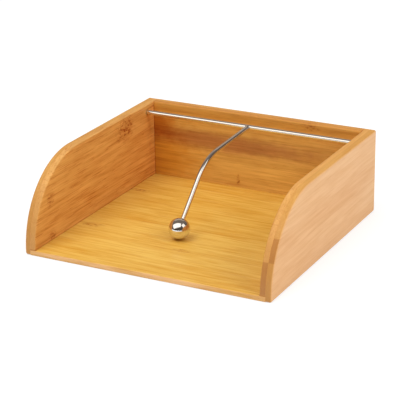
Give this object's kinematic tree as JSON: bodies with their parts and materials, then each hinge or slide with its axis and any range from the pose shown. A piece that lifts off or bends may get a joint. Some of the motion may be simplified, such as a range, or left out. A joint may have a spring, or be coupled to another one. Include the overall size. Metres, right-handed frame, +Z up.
{
  "type": "napkin holder",
  "caption": "Open bamboo tray with quarter-round sides for flat napkins, held down by a steel ball on a bent arm that swings up from a rod at the back.",
  "frame": {"origin": "middle of the tray's flat underside", "axes": "+X across the tray to the right as seen from its open front, +Y from the open front to the back board, +Z up"},
  "size_m": [0.19, 0.1816, 0.0635],
  "materials": {
    "bamboo": "satin lacquer over laminated bamboo strips",
    "dowel_wood": "plain beech, unfinished and hidden",
    "polished_steel": "polished"
  },
  "bodies": {
    "tray": {"base_board": "bamboo", "left_side_outer_ply": "bamboo", "left_side_inner_ply": "bamboo", "right_side_outer_ply": "bamboo", "right_side_inner_ply": "bamboo", "back_outer_ply": "bamboo", "back_inner_ply": "bamboo", "corner_dowels": "dowel_wood"},
    "arm": {"pivot_rod": "polished_steel", "weight_arm": "polished_steel", "ball_weight": "polished_steel"}
  },
  "joints": [
    {"name": "arm_lift", "type": "hinge", "parent": "tray", "child": "arm", "pos_m": [0, 0.07225, 0.05775], "axis": [-1, 0, 0], "range_deg": [0, 146.5]}
  ]
}
